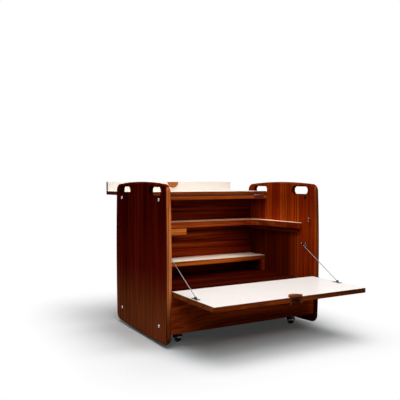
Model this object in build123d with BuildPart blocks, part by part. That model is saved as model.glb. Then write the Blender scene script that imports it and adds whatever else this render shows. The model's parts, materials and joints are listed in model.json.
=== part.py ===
"""Rolling bar cabinet: barrel-shaped side panels, a case between them, a drop flap and a fold-back lid.

Millimetres. X is the width, Y the depth with the front at -Y, Z is up from the floor.
The cabinet is modelled open: the flap hangs level on its two stays and the lid lies folded back.
"""
from build123d import *
import os
from math import atan2, cos, degrees, hypot, radians, sin, sqrt

os.makedirs("parts", exist_ok=True)

# Side panels
overall_width = 1018.0
panel_thickness = 27.0
panel_height = 858.0
panel_depth = 730.0
panel_end_depth = 706.0
panel_floor_gap = 10.0
panel_arch_rise = 17.0
panel_foot_rise = 9.0
panel_top_radius = 44.0
panel_bottom_radius = 44.0
panel_edge_radius = 12.0

# Hand slots in the side panels
slot_length = 143.0
slot_height = 46.0
slot_offset = 207.0
slot_drop = 52.0
slot_edge_radius = 7.0

# Case between the panels
case_setback = 24.0
front_thickness = 26.0
board_thickness = 20.0
plinth_bottom = 72.0
hinge_level = 270.0
lid_drop = 90.0
strip_thickness = 21.0
board_edge_radius = 2.0
laminate_thickness = 1.0

# Lid with its apron, and the gaps round the lid and the flap
strip_depth = 205.5
lid_thickness = 23.0
apron_drop = 86.0
joint_gap = 3.0
side_clearance = 2.0
flap_side_clearance = 8.0
edge_gap = 1.0

# Shelves
upper_shelf_drop = 163.0
upper_shelf_thickness = 37.0
upper_shelf_depth = 125.0
wing_root_width = 62.0
wing_tip_width = 16.0
wing_setback = 84.0
wing_corner_radius = 90.0
cleat_width = 14.0
cleat_height = 28.0
cleat_setback = 26.0
lower_shelf_rise = 102.0
lower_shelf_thickness = 30.0
lower_shelf_depth = 171.0
shelf_support_thickness = 22.0
shelf_support_setback = 4.0
support_housing = 5.0

# Shallow drawer under the left of the upper shelf
drawer_inset = 38.0
drawer_width = 345.0
drawer_height = 40.0
drawer_front_thickness = 16.0
drawer_front_overlap = 16.0
drawer_wall = 7.0
drawer_bottom = 5.0
drawer_back_gap = 12.0
drawer_gap = 5.0
runner_flange = 6.0
runner_flange_height = 4.0
runner_web = 7.0
runner_ledge = 5.0
runner_clearance = 0.4
grip_radius = 5.0

# Round pull, one half on the lid's apron and one half on the flap
pull_radius = 40.0
pull_bowl_radius = 28.0
pull_bowl_depth = 28.0
pull_rim = 10.0
pull_rim_radius = 3.0
pull_side_proud = 8.0
pull_back_proud = 10.0
pull_fit = 0.15

# Butt hinges
knuckle_radius = 2.75
knuckle_stand_off = 3.0
hinge_pin_radius = 1.3
running_fit = 0.05
leaf_thickness = 2.0
leaf_width = 20.0
leaf_gap = 0.5
leaf_length = 80.0
leaf_segments = 5
segment_gap = 0.4
knuckle_relief = 0.45
mortise_fit = 0.2
lid_hinge_inset = 60.0
flap_hinge_inset = 146.0

# Flap stays: a rod turns on the flap and slides through a swivelling eye on the panel
stay_arm = 226.0
stay_rise_angle = 70.5
stay_side_gap = 24.0
stay_pin_height = 7.5
rod_radius = 2.0
rod_slip = 0.3
rod_ring_radius = 4.5
rod_ring_width = 6.0
rod_stop_radius = 4.0
rod_stop_length = 6.0
rod_stop_gap = 1.5
eye_radius = 8.0
eye_width = 14.0
eye_socket_depth = 3.0
stud_radius = 4.0
stay_plate_thickness = 3.0
stay_plate_height = 34.0
stay_plate_width = 22.0
flap_plate_length = 60.0
flap_plate_width = 22.0
flap_plate_thickness = 2.5
flap_plate_rounding = 3.0
flap_lug_thickness = 3.0
flap_lug_width = 10.0
flap_pin_radius = 2.2
flap_pin_head_radius = 3.4
flap_pin_head = 1.5
pin_end_gap = 0.5

# Stops that the closed flap comes up against
stop_overlap = 6.0
stop_depth = 16.0
stop_height = 30.0
stop_drop = 55.0
stop_clearance = 0.5
stop_rounding = 2.0

# Casters
caster_side_inset = 94.0
caster_end_inset = 86.0
caster_trail = 14.0
wheel_radius = 24.0
wheel_width = 28.0
wheel_rounding = 10.0
axle_radius = 3.0
hood_clearance = 3.0
hood_wall = 2.0
hood_rim_rise = 4.0
lug_gap = 1.5
lug_thickness = 3.0
lug_half_width = 7.0
lug_drop = 6.0
socket_radius = 8.0
socket_top = 60.0
stem_radius = 5.0
stem_bottom = 50.3
stem_end_gap = 0.3
collar_radius = 10.0
caster_plate_size = 46.0
caster_plate_thickness = 3.0
caster_plate_rounding = 6.0

# Bolts with domed caps through the side panels
bolt_offset = 260.0
bolt_top_drop = 96.0
bolt_bottom_rise = 94.0
bolt_cap_radius = 9.0
bolt_cap_height = 5.0
bolt_cap_rounding = 4.0
bolt_shank_radius = 4.0
bolt_shank_length = 18.0
bolt_fit = 0.1

# Rubber strip that the folded lid lies on
rest_width = 20.0
rest_setback = 6.0
rest_end_gap = 4.0
rest_gap = 0.4

# Places worked out from the sizes above
inner_x = overall_width / 2 - panel_thickness
panel_bottom = panel_floor_gap
panel_top = panel_floor_gap + panel_height
lid_top = panel_top - lid_drop
joint_level = lid_top - apron_drop
case_front = -panel_depth / 2 + case_setback
case_back = panel_depth / 2 - case_setback
front_inner = case_front + front_thickness
back_inner = case_back - board_thickness
lid_half_width = inner_x - side_clearance
flap_half_width = inner_x - flap_side_clearance
strip_front = case_back - strip_depth
strip_bottom = lid_top - strip_thickness
lid_line = strip_front - edge_gap / 2
lid_axis_z = lid_top + knuckle_stand_off
flap_axis_y = case_front - knuckle_stand_off
flap_axis_z = hinge_level
flap_low = flap_axis_z + knuckle_stand_off
flap_face = flap_low + front_thickness
flap_core_top = flap_face - laminate_thickness
flap_pin_z = flap_face + stay_pin_height
flap_pin_y = flap_axis_y - sqrt(stay_arm**2 - (flap_pin_z - flap_axis_z) ** 2)
rod_x = inner_x - stay_side_gap
lid_hinge_x = lid_half_width - lid_hinge_inset
flap_hinge_x = flap_half_width - flap_hinge_inset
leaf_reach = leaf_length / 2 + mortise_fit
mortise_depth = leaf_gap / 2 + leaf_thickness + mortise_fit
upper_shelf_top = lid_top - upper_shelf_drop
upper_shelf_front = back_inner - upper_shelf_depth
wing_tip_front = front_inner + wing_setback
shelf_bottom = upper_shelf_top - upper_shelf_thickness
lower_shelf_top = hinge_level + lower_shelf_rise
lower_shelf_front = back_inner - lower_shelf_depth
support_front = lower_shelf_front + shelf_support_setback
support_bottom = hinge_level - support_housing
sides = {"left": -1, "right": 1}


def export(builder, name):
    """Labels a finished piece and writes it to its own file."""
    builder.part.label = name
    export_step(builder.part, f"parts/{name}.step")


def slab(low, high, mode=Mode.ADD):
    """A rectangular block between two opposite corners, in the part being built."""
    size = [high[i] - low[i] for i in range(3)]
    middle = tuple((high[i] + low[i]) / 2 for i in range(3))
    with Locations(middle):
        Box(*size, mode=mode)


def board(name, low, high):
    """A plain rectangular board."""
    with BuildPart() as piece:
        slab(low, high)
    export(piece, name)


def side_panel(name, side):
    """A barrel-shaped panel, arched above and below, with two hand slots and blind holes for its bolts."""
    start = min(side * inner_x, side * overall_width / 2)
    shoulder = panel_top - panel_arch_rise
    heel = panel_bottom + panel_foot_rise
    middle = (panel_top + panel_bottom) / 2
    end = panel_end_depth / 2
    with BuildPart() as panel:
        with BuildSketch(Plane.YZ.offset(start)) as outline:
            with BuildLine():
                ThreePointArc((-end, shoulder), (0, panel_top), (end, shoulder))
                ThreePointArc((end, shoulder), (panel_depth / 2, middle), (end, heel))
                ThreePointArc((end, heel), (0, panel_bottom), (-end, heel))
                ThreePointArc((-end, heel), (-panel_depth / 2, middle), (-end, shoulder))
            make_face()
            fillet(outline.vertices().group_by(Axis.Y)[-1], panel_top_radius)
            fillet(outline.vertices().group_by(Axis.Y)[0], panel_bottom_radius)
            with Locations((-slot_offset, panel_top - slot_drop), (slot_offset, panel_top - slot_drop)):
                SlotOverall(slot_length, slot_height, mode=Mode.SUBTRACT)
        extrude(amount=panel_thickness)
        rims = [edge for face in panel.faces().filter_by(Axis.X) for edge in face.outer_wire().edges()]
        fillet(rims, panel_edge_radius)
        mouths = [
            edge
            for face in panel.faces().filter_by(Axis.X)
            for wire in face.inner_wires()
            for edge in wire.edges()
        ]
        fillet(mouths, slot_edge_radius)
        with BuildSketch(Plane.YZ.offset(side * overall_width / 2)):
            with Locations(*bolt_places()):
                Circle(bolt_shank_radius + bolt_fit)
        extrude(amount=-side * (bolt_shank_length + bolt_fit), mode=Mode.SUBTRACT)
    export(panel, name)


def bolt_places():
    """Depth and height of the four bolts of one panel."""
    levels = (panel_top - bolt_top_drop, panel_bottom + bolt_bottom_rise)
    return [(y, z) for z in levels for y in (-bolt_offset, bolt_offset)]


def panel_bolts(name, side):
    """Four bolts with domed caps, a group of separate solids."""
    face = side * overall_width / 2
    with BuildPart() as bolts:
        with BuildSketch(Plane.YZ.offset(face)):
            with Locations(*bolt_places()):
                Circle(bolt_cap_radius)
        extrude(amount=side * bolt_cap_height)
        crowns = bolts.faces().filter_by(Axis.X).group_by(Axis.X)[-1 if side > 0 else 0]
        fillet(crowns.edges(), bolt_cap_rounding)
        with BuildSketch(Plane.YZ.offset(face)):
            with Locations(*bolt_places()):
                Circle(bolt_shank_radius)
        extrude(amount=-side * bolt_shank_length)
    export(bolts, name)


# Case boards
for side_name, side in sides.items():
    side_panel(f"side_panel_{side_name}", side)
    panel_bolts(f"panel_bolts_{side_name}", side)

bottom_top = plinth_bottom + board_thickness
board("bottom_board", (-inner_x, front_inner, plinth_bottom), (inner_x, back_inner, bottom_top))
board("back_panel", (-inner_x, back_inner, plinth_bottom), (inner_x, case_back, strip_bottom))

with BuildPart() as case_floor:
    slab((-inner_x, front_inner, hinge_level - board_thickness), (inner_x, back_inner, hinge_level))
    for side in sides.values():
        housing_x = sorted((side * (inner_x - shelf_support_thickness), side * inner_x))
        slab(
            (housing_x[0], support_front, support_bottom),
            (housing_x[1], back_inner, hinge_level),
            Mode.SUBTRACT,
        )
export(case_floor, "case_floor")

with BuildPart() as lower_front_panel:
    plinth_top = hinge_level - edge_gap / 2
    slab((-inner_x, case_front, plinth_bottom), (inner_x, front_inner, plinth_top))
    fillet(lower_front_panel.edges().filter_by(Axis.X).group_by(Axis.Z)[0], board_edge_radius)
    pocket_floor = hinge_level - mortise_depth
    pocket_back = flap_axis_y + leaf_width + mortise_fit
    for side in sides.values():
        left = side * flap_hinge_x - leaf_reach
        right = side * flap_hinge_x + leaf_reach
        slab((left, case_front, pocket_floor), (right, pocket_back, plinth_top), Mode.SUBTRACT)
export(lower_front_panel, "lower_front_panel")

with BuildPart() as rear_top_strip:
    slab((-inner_x, strip_front, strip_bottom), (inner_x, case_back, lid_top))
    fillet(rear_top_strip.edges().filter_by(Axis.X).group_by(Axis.Y)[-1], board_edge_radius)
    pocket_back = lid_line + mortise_depth
    pocket_bottom = lid_axis_z - leaf_width - mortise_fit
    for side in sides.values():
        left = side * lid_hinge_x - leaf_reach
        right = side * lid_hinge_x + leaf_reach
        slab((left, strip_front, pocket_bottom), (right, pocket_back, lid_top), Mode.SUBTRACT)
export(rear_top_strip, "rear_top_strip")


def upper_shelf_piece(name, bottom, top):
    """One layer of the U-shaped upper shelf, whose side wings taper towards the front."""
    root_x = inner_x - wing_root_width
    tip_x = inner_x - wing_tip_width
    with BuildPart() as shelf:
        with BuildSketch(Plane.XY.offset(bottom)) as plan:
            with BuildLine():
                Polyline(
                    (-inner_x, back_inner), (-inner_x, wing_tip_front), (-tip_x, wing_tip_front),
                    (-root_x, upper_shelf_front), (root_x, upper_shelf_front),
                    (tip_x, wing_tip_front), (inner_x, wing_tip_front), (inner_x, back_inner),
                    close=True,
                )
            make_face()
            inner_corners = plan.vertices().filter_by(lambda v: abs(v.Y - upper_shelf_front) < 1)
            fillet(inner_corners, wing_corner_radius)
        extrude(amount=top - bottom)
    export(shelf, name)


upper_core_top = upper_shelf_top - laminate_thickness
upper_shelf_piece("upper_shelf", shelf_bottom, upper_core_top)
upper_shelf_piece("upper_shelf_laminate", upper_core_top, upper_shelf_top)

lower_core_top = lower_shelf_top - laminate_thickness
lower_shelf_bottom = lower_shelf_top - lower_shelf_thickness
for layer_name, low, high in (
    ("lower_shelf", lower_shelf_bottom, lower_core_top),
    ("lower_shelf_laminate", lower_core_top, lower_shelf_top),
):
    board(layer_name, (-inner_x, lower_shelf_front, low), (inner_x, back_inner, high))

for side_name, side in sides.items():
    support_x = sorted((side * (inner_x - shelf_support_thickness), side * inner_x))
    board(
        f"shelf_support_{side_name}",
        (support_x[0], support_front, support_bottom),
        (support_x[1], back_inner, lower_shelf_bottom),
    )
    cleat_x = sorted((side * (inner_x - cleat_width), side * inner_x))
    board(
        f"shelf_cleat_{side_name}",
        (cleat_x[0], wing_tip_front + cleat_setback, shelf_bottom - cleat_height),
        (cleat_x[1], back_inner, shelf_bottom),
    )

# Drawer
drawer_left = -inner_x + drawer_inset
drawer_right = drawer_left + drawer_width
drawer_top = shelf_bottom - drawer_gap
drawer_low = drawer_top - drawer_height
drawer_face = upper_shelf_front
drawer_box_front = drawer_face + drawer_front_thickness
drawer_box_back = back_inner - drawer_back_gap
box_left = drawer_left + drawer_front_overlap
box_right = drawer_right - drawer_front_overlap
flange_bottom = drawer_top - runner_flange_height

with BuildPart() as drawer_front:
    slab((drawer_left, drawer_face, drawer_low), (drawer_right, drawer_box_front, drawer_top))
    fillet(drawer_front.edges().filter_by(Axis.X).group_by(Axis.Y)[0], board_edge_radius)
    with Locations(((drawer_left + drawer_right) / 2, drawer_box_front - grip_radius, drawer_low)):
        Cylinder(grip_radius, drawer_right - drawer_left, rotation=(0, 90, 0), mode=Mode.SUBTRACT)
export(drawer_front, "drawer_front")

with BuildPart() as drawer_box:
    slab((box_left, drawer_box_front, drawer_low + grip_radius), (box_right, drawer_box_back, drawer_top))
    slab(
        (box_left - runner_flange, drawer_box_front, flange_bottom),
        (box_right + runner_flange, drawer_box_back, drawer_top),
    )
    slab(
        (box_left + drawer_wall, drawer_box_front + drawer_wall, drawer_low + grip_radius + drawer_bottom),
        (box_right - drawer_wall, drawer_box_back - drawer_wall, drawer_top),
        Mode.SUBTRACT,
    )
export(drawer_box, "drawer_box")

with BuildPart() as drawer_runners:
    for wall_x, outward in ((box_left, -1), (box_right, 1)):
        ledge_inner = wall_x + outward * runner_clearance
        web_inner = wall_x + outward * (runner_flange + runner_clearance)
        web_outer = web_inner + outward * runner_web
        web_span = sorted((web_inner, web_outer))
        ledge_span = sorted((ledge_inner, web_outer))
        ledge_top = flange_bottom - runner_clearance
        runner_front = drawer_box_front + runner_clearance
        slab((web_span[0], runner_front, ledge_top - runner_ledge), (web_span[1], back_inner, shelf_bottom))
        slab((ledge_span[0], runner_front, ledge_top - runner_ledge), (ledge_span[1], back_inner, ledge_top))
export(drawer_runners, "drawer_runners")

# Lid, folded back over the rear strip: what faces up here is the underside when it is closed
lid_near = lid_line + edge_gap / 2
lid_far = 2 * lid_line - case_front
lid_low = 2 * lid_axis_z - lid_top
lid_face = lid_low + lid_thickness
lid_core_top = lid_face - laminate_thickness
lid_joint_z = 2 * lid_axis_z - joint_level
apron_edge = lid_joint_z - joint_gap / 2
apron_inner = lid_far - front_thickness
apron_core_inner = apron_inner + laminate_thickness
notch_radius = pull_radius + pull_fit

with BuildPart() as lid_board:
    slab((-lid_half_width, lid_near, lid_low), (lid_half_width, lid_far, lid_core_top))
    far_low = lid_board.edges().filter_by(Axis.X).group_by(Axis.Y)[-1].sort_by(Axis.Z)[0]
    fillet(far_low, board_edge_radius)
    pocket_back = lid_line + mortise_depth
    pocket_top = lid_axis_z + leaf_width + mortise_fit
    for side in sides.values():
        left = side * lid_hinge_x - leaf_reach
        right = side * lid_hinge_x + leaf_reach
        slab((left, lid_near, lid_low), (right, pocket_back, pocket_top), Mode.SUBTRACT)
export(lid_board, "lid_board")

board("lid_laminate", (-lid_half_width, lid_near, lid_core_top), (lid_half_width, apron_inner, lid_face))


def apron_piece(name, front, back, bottom):
    """A layer of the apron with the half-round notch for the pull in its free edge."""
    with BuildPart() as apron:
        slab((-lid_half_width, front, bottom), (lid_half_width, back, apron_edge))
        with Locations((0, (front + back) / 2, lid_joint_z)):
            Cylinder(notch_radius, back - front, rotation=(90, 0, 0), mode=Mode.SUBTRACT)
    export(apron, name)


apron_piece("lid_apron", apron_core_inner, lid_far, lid_core_top)
apron_piece("apron_laminate", apron_inner, apron_core_inner, lid_face)

# Drop flap, hanging level in front of the case
flap_rear = flap_axis_y - edge_gap / 2
flap_joint_y = flap_axis_y - (joint_level - hinge_level)
flap_front = flap_joint_y + joint_gap / 2


def flap_piece(name, bottom, top, core):
    """A layer of the flap, notched for the pull, with seats for the hinges or for the stays' plates."""
    with BuildPart() as flap:
        slab((-flap_half_width, flap_front, bottom), (flap_half_width, flap_rear, top))
        if core:
            fillet(flap.edges().filter_by(Axis.X).group_by(Axis.Y)[0].sort_by(Axis.Z)[0], board_edge_radius)
            pocket_front = flap_axis_y - mortise_depth
            pocket_top = flap_axis_z + leaf_width + mortise_fit
            for side in sides.values():
                left = side * flap_hinge_x - leaf_reach
                right = side * flap_hinge_x + leaf_reach
                slab((left, pocket_front, bottom), (right, flap_rear, pocket_top), Mode.SUBTRACT)
        else:
            with BuildSketch(Plane.XY.offset(bottom)):
                with Locations((-rod_x, flap_pin_y), (rod_x, flap_pin_y)):
                    RectangleRounded(
                        flap_plate_width + 2 * mortise_fit,
                        flap_plate_length + 2 * mortise_fit,
                        flap_plate_rounding + mortise_fit,
                    )
            extrude(amount=top - bottom, mode=Mode.SUBTRACT)
        with Locations((0, flap_joint_y, (bottom + top) / 2)):
            Cylinder(notch_radius, top - bottom, mode=Mode.SUBTRACT)
    export(flap, name)


flap_piece("flap_board", flap_low, flap_core_top, True)
flap_piece("flap_laminate", flap_core_top, flap_face, False)


def cap_fall(chord_radius, height):
    """How far a spherical cap has fallen from its crown at half the radius of its rim."""
    sphere_radius = (chord_radius**2 + height**2) / (2 * height)
    return sphere_radius - sqrt(sphere_radius**2 - (chord_radius / 2) ** 2)


def pull_half(name, plane, turn):
    """Half of the turned pull: a dished cup whose domed back stands proud of the inner face."""
    shoulder = front_thickness + pull_side_proud
    crown = front_thickness + pull_back_proud
    dome_middle = (pull_radius / 2, crown - cap_fall(pull_radius, crown - shoulder))
    bowl_floor = pull_bowl_depth - pull_rim
    bowl_middle = (pull_bowl_radius / 2, bowl_floor - cap_fall(pull_bowl_radius, pull_bowl_depth))
    kerf = Plane(origin=plane.origin, x_dir=plane.x_dir, z_dir=plane.z_dir if turn < 0 else -plane.z_dir)
    with BuildPart() as half:
        with BuildSketch(plane) as section:
            with BuildLine():
                Line((pull_bowl_radius, -pull_rim), (pull_radius, -pull_rim))
                Line((pull_radius, -pull_rim), (pull_radius, shoulder))
                ThreePointArc((pull_radius, shoulder), dome_middle, (0, crown))
                Line((0, crown), (0, bowl_floor))
                ThreePointArc((0, bowl_floor), bowl_middle, (pull_bowl_radius, -pull_rim))
            make_face()
            rim = section.vertices().filter_by(lambda v: abs(v.Y + pull_rim) < 0.01)
            fillet(rim, pull_rim_radius)
        revolve(axis=Axis(plane.origin, plane.y_dir), revolution_arc=turn)
        with BuildSketch(kerf):
            Circle(2 * pull_radius)
        extrude(amount=joint_gap / 2, mode=Mode.SUBTRACT)
    export(half, name)


flap_pull_plane = Plane(origin=(0, flap_joint_y, flap_low), x_dir=(1, 0, 0), z_dir=(0, -1, 0))
lid_pull_plane = Plane(origin=(0, lid_far, lid_joint_z), x_dir=(1, 0, 0), z_dir=(0, 0, -1))
pull_half("flap_pull_half", flap_pull_plane, 180)
pull_half("lid_pull_half", lid_pull_plane, -180)


def hinge_leaf(name, axis_point, along, leaf_side, fixed):
    """One leaf of a butt hinge; the fixed leaf carries the pin, the other leaf turns on it."""
    segment = leaf_length / leaf_segments
    own = [i for i in range(leaf_segments) if (i % 2 == 0) == fixed]
    leaf_start = knuckle_radius + knuckle_relief
    leaf_middle = leaf_side * (leaf_gap + leaf_thickness) / 2
    first = Plane(origin=axis_point, x_dir=along, z_dir=(1, 0, 0)).offset(-leaf_length / 2)
    with BuildPart() as leaf:
        with BuildSketch(first):
            with Locations(((leaf_start + leaf_width) / 2, leaf_middle)):
                Rectangle(leaf_width - leaf_start, leaf_thickness)
        extrude(amount=leaf_length)
        for i in own:
            with BuildSketch(first.offset(i * segment + segment_gap / 2)):
                Circle(knuckle_radius)
                with Locations((leaf_start / 2, leaf_middle)):
                    Rectangle(leaf_start, leaf_thickness)
            extrude(amount=segment - segment_gap)
        with BuildSketch(first):
            Circle(hinge_pin_radius if fixed else hinge_pin_radius + running_fit)
        extrude(amount=leaf_length, mode=Mode.ADD if fixed else Mode.SUBTRACT)
    export(leaf, name)


for side_name, side in sides.items():
    lid_axis_point = (side * lid_hinge_x, lid_line, lid_axis_z)
    hinge_leaf(f"lid_hinge_fixed_{side_name}", lid_axis_point, (0, 0, -1), 1, True)
    hinge_leaf(f"lid_hinge_moving_{side_name}", lid_axis_point, (0, 0, 1), -1, False)
    flap_axis_point = (side * flap_hinge_x, flap_axis_y, flap_axis_z)
    hinge_leaf(f"flap_hinge_fixed_{side_name}", flap_axis_point, (0, 1, 0), -1, True)
    hinge_leaf(f"flap_hinge_moving_{side_name}", flap_axis_point, (0, 0, 1), 1, False)

# Stays: both pivots lie on one circle round the flap's hinge, so the rod turns half as far as the flap
eye_y = flap_axis_y + stay_arm * cos(radians(stay_rise_angle))
eye_z = flap_axis_z + stay_arm * sin(radians(stay_rise_angle))
rod_span = hypot(eye_y - flap_pin_y, eye_z - flap_pin_z)
rod_slope = degrees(atan2(eye_z - flap_pin_z, eye_y - flap_pin_y))
rod_direction = (0, cos(radians(rod_slope)), sin(radians(rod_slope)))


def stay_bracket(name, side):
    """A plate on the panel with the stud that the eye turns on."""
    stud_end = rod_x + eye_width / 2 - eye_socket_depth + running_fit
    plate_face = inner_x - stay_plate_thickness
    with BuildPart() as bracket:
        with BuildSketch(Plane.YZ.offset(side * inner_x)):
            with Locations((eye_y, eye_z)):
                SlotOverall(stay_plate_height, stay_plate_width, rotation=90)
        extrude(amount=-side * stay_plate_thickness)
        with BuildSketch(Plane.YZ.offset(side * plate_face)):
            with Locations((eye_y, eye_z)):
                Circle(stud_radius)
        extrude(amount=-side * (plate_face - stud_end))
    export(bracket, name)


def stay_eye(name, side):
    """A round block that swivels on the stud and guides the rod through its cross hole."""
    back = rod_x + eye_width / 2
    with BuildPart() as eye:
        with BuildSketch(Plane.YZ.offset(side * back)):
            with Locations((eye_y, eye_z)):
                Circle(eye_radius)
        extrude(amount=-side * eye_width)
        with BuildSketch(Plane.YZ.offset(side * back)):
            with Locations((eye_y, eye_z)):
                Circle(stud_radius + running_fit)
        extrude(amount=-side * eye_socket_depth, mode=Mode.SUBTRACT)
        across = Plane(origin=(side * rod_x, eye_y, eye_z), x_dir=(1, 0, 0), z_dir=rod_direction)
        with BuildSketch(across):
            Circle(rod_radius + rod_slip)
        extrude(amount=eye_radius, both=True, mode=Mode.SUBTRACT)
    export(eye, name)


def stay_rod(name, side):
    """The rod with its pivot ring at the flap and its stop behind the eye."""
    length = rod_span + eye_radius + rod_stop_gap + rod_stop_length
    start = Plane(origin=(side * rod_x, flap_pin_y, flap_pin_z), x_dir=(1, 0, 0), z_dir=rod_direction)
    ring = Plane.YZ.offset(side * rod_x)
    with BuildPart() as rod:
        with BuildSketch(start):
            Circle(rod_radius)
        extrude(amount=length)
        with BuildSketch(start.offset(length - rod_stop_length)):
            Circle(rod_stop_radius)
        extrude(amount=rod_stop_length)
        with BuildSketch(ring):
            with Locations((flap_pin_y, flap_pin_z)):
                Circle(rod_ring_radius)
        extrude(amount=rod_ring_width / 2, both=True)
        with BuildSketch(ring):
            with Locations((flap_pin_y, flap_pin_z)):
                Circle(flap_pin_radius + running_fit)
        extrude(amount=rod_ring_width, both=True, mode=Mode.SUBTRACT)
    export(rod, name)


def stay_flap_bracket(name, side):
    """A plate let into the flap's laminate, with a lug and the headed pin that the rod turns on."""
    lug_inner = rod_x + rod_ring_width / 2 + pin_end_gap
    head_start = rod_x - rod_ring_width / 2 - pin_end_gap
    lug_span = sorted((side * lug_inner, side * (lug_inner + flap_lug_thickness)))
    plate_span = sorted((side * (rod_x - flap_plate_width / 2), side * (rod_x + flap_plate_width / 2)))
    plate_top = flap_core_top + flap_plate_thickness
    with BuildPart() as bracket:
        slab(
            (plate_span[0], flap_pin_y - flap_plate_length / 2, flap_core_top),
            (plate_span[1], flap_pin_y + flap_plate_length / 2, plate_top),
        )
        fillet(bracket.edges().filter_by(Axis.Z), flap_plate_rounding)
        slab(
            (lug_span[0], flap_pin_y - flap_lug_width / 2, flap_core_top),
            (lug_span[1], flap_pin_y + flap_lug_width / 2, flap_pin_z),
        )
        with BuildSketch(Plane.YZ.offset(side * lug_inner)):
            with Locations((flap_pin_y, flap_pin_z)):
                Circle(flap_lug_width / 2)
        extrude(amount=side * flap_lug_thickness)
        with BuildSketch(Plane.YZ.offset(side * lug_inner)):
            with Locations((flap_pin_y, flap_pin_z)):
                Circle(flap_pin_radius)
        extrude(amount=-side * (lug_inner - head_start))
        with BuildSketch(Plane.YZ.offset(side * head_start)):
            with Locations((flap_pin_y, flap_pin_z)):
                Circle(flap_pin_head_radius)
        extrude(amount=-side * flap_pin_head)
    export(bracket, name)


def flap_stop(name, side):
    """A small block on the panel that the closed flap comes up against."""
    front = front_inner + stop_clearance
    stop_level = joint_level - stop_drop
    span = sorted((side * (flap_half_width - stop_overlap), side * inner_x))
    with BuildPart() as stop:
        slab(
            (span[0], front, stop_level - stop_height / 2),
            (span[1], front + stop_depth, stop_level + stop_height / 2),
        )
        free_edges = stop.edges().filter_by(Axis.Z).sort_by(Axis.X)
        fillet(free_edges[:2] if side > 0 else free_edges[-2:], stop_rounding)
    export(stop, name)


for side_name, side in sides.items():
    stay_bracket(f"stay_bracket_{side_name}", side)
    stay_eye(f"stay_eye_{side_name}", side)
    stay_rod(f"stay_rod_{side_name}", side)
    stay_flap_bracket(f"stay_flap_bracket_{side_name}", side)
    flap_stop(f"flap_stop_{side_name}", side)

rest_front = strip_front + rest_setback
rest_end = inner_x - rest_end_gap
board(
    "lid_rest_strip",
    (-rest_end, rest_front, lid_top),
    (rest_end, rest_front + rest_width, lid_low - rest_gap),
)


def caster_plate(name, x, y):
    """The plate under the bottom board with the stem that the hood swivels on."""
    plate_low = plinth_bottom - caster_plate_thickness
    with BuildPart() as plate:
        with BuildSketch(Plane.XY.offset(plate_low)):
            with Locations((x, y)):
                RectangleRounded(caster_plate_size, caster_plate_size, caster_plate_rounding)
        extrude(amount=caster_plate_thickness)
        with BuildSketch(Plane.XY.offset(socket_top + stem_end_gap)):
            with Locations((x, y)):
                Circle(collar_radius)
        extrude(amount=plate_low - socket_top - stem_end_gap)
        with BuildSketch(Plane.XY.offset(stem_bottom)):
            with Locations((x, y)):
                Circle(stem_radius)
        extrude(amount=plate_low - stem_bottom)
    export(plate, name)


def caster_hood(name, x, y):
    """A domed hood with the stem socket on top and two lugs that hold the axle."""
    wheel_y = y + caster_trail
    inner_radius = wheel_radius + hood_clearance
    outer_radius = inner_radius + hood_wall
    lug_inner = wheel_width / 2 + lug_gap
    lug_outer = lug_inner + lug_thickness
    lug_top = sqrt(outer_radius**2 - lug_outer**2 - lug_half_width**2)
    with BuildPart() as hood:
        with Locations((x, wheel_y, wheel_radius)):
            Sphere(outer_radius)
        with BuildSketch(Plane.XY.offset(wheel_radius)):
            with Locations((x, y)):
                Circle(socket_radius)
        extrude(amount=socket_top - wheel_radius)
        with Locations((x, wheel_y, wheel_radius)):
            Sphere(inner_radius, mode=Mode.SUBTRACT)
        slab(
            (x - 2 * outer_radius, wheel_y - 2 * outer_radius, wheel_radius - 2 * outer_radius),
            (x + 2 * outer_radius, wheel_y + 2 * outer_radius, wheel_radius + hood_rim_rise),
            Mode.SUBTRACT,
        )
        for lug_side in (-1, 1):
            span = sorted((x + lug_side * lug_inner, x + lug_side * lug_outer))
            slab(
                (span[0], wheel_y - lug_half_width, wheel_radius - lug_drop),
                (span[1], wheel_y + lug_half_width, wheel_radius + lug_top),
            )
        with BuildSketch(Plane.YZ.offset(x)):
            with Locations((wheel_y, wheel_radius)):
                Circle(axle_radius)
        extrude(amount=lug_outer, both=True)
        with BuildSketch(Plane.XY.offset(stem_bottom - stem_end_gap)):
            with Locations((x, y)):
                Circle(stem_radius + running_fit)
        extrude(amount=socket_top - stem_bottom + 2 * stem_end_gap, mode=Mode.SUBTRACT)
    export(hood, name)


def caster_wheel(name, x, y):
    """A ball-like wheel with its bore."""
    wheel_y = y + caster_trail
    bore = axle_radius + running_fit
    section_plane = Plane(origin=(x, wheel_y, wheel_radius), x_dir=(1, 0, 0), z_dir=(0, -1, 0))
    with BuildPart() as wheel:
        with BuildSketch(section_plane) as section:
            with Locations((0, (bore + wheel_radius) / 2)):
                Rectangle(wheel_width, wheel_radius - bore)
            fillet(section.vertices().group_by(Axis.Y)[-1], wheel_rounding)
        revolve(axis=Axis(section_plane.origin, (1, 0, 0)))
    export(wheel, name)


caster_rows = {"front": case_front + caster_end_inset, "rear": case_back - caster_end_inset}
for depth_name, caster_y in caster_rows.items():
    for side_name, side in sides.items():
        place = (side * (inner_x - caster_side_inset), caster_y)
        caster_plate(f"caster_plate_{depth_name}_{side_name}", *place)
        caster_hood(f"caster_hood_{depth_name}_{side_name}", *place)
        caster_wheel(f"caster_wheel_{depth_name}_{side_name}", *place)
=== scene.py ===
import json
import math

import bmesh
import bpy
from mathutils import Matrix, Vector


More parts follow.
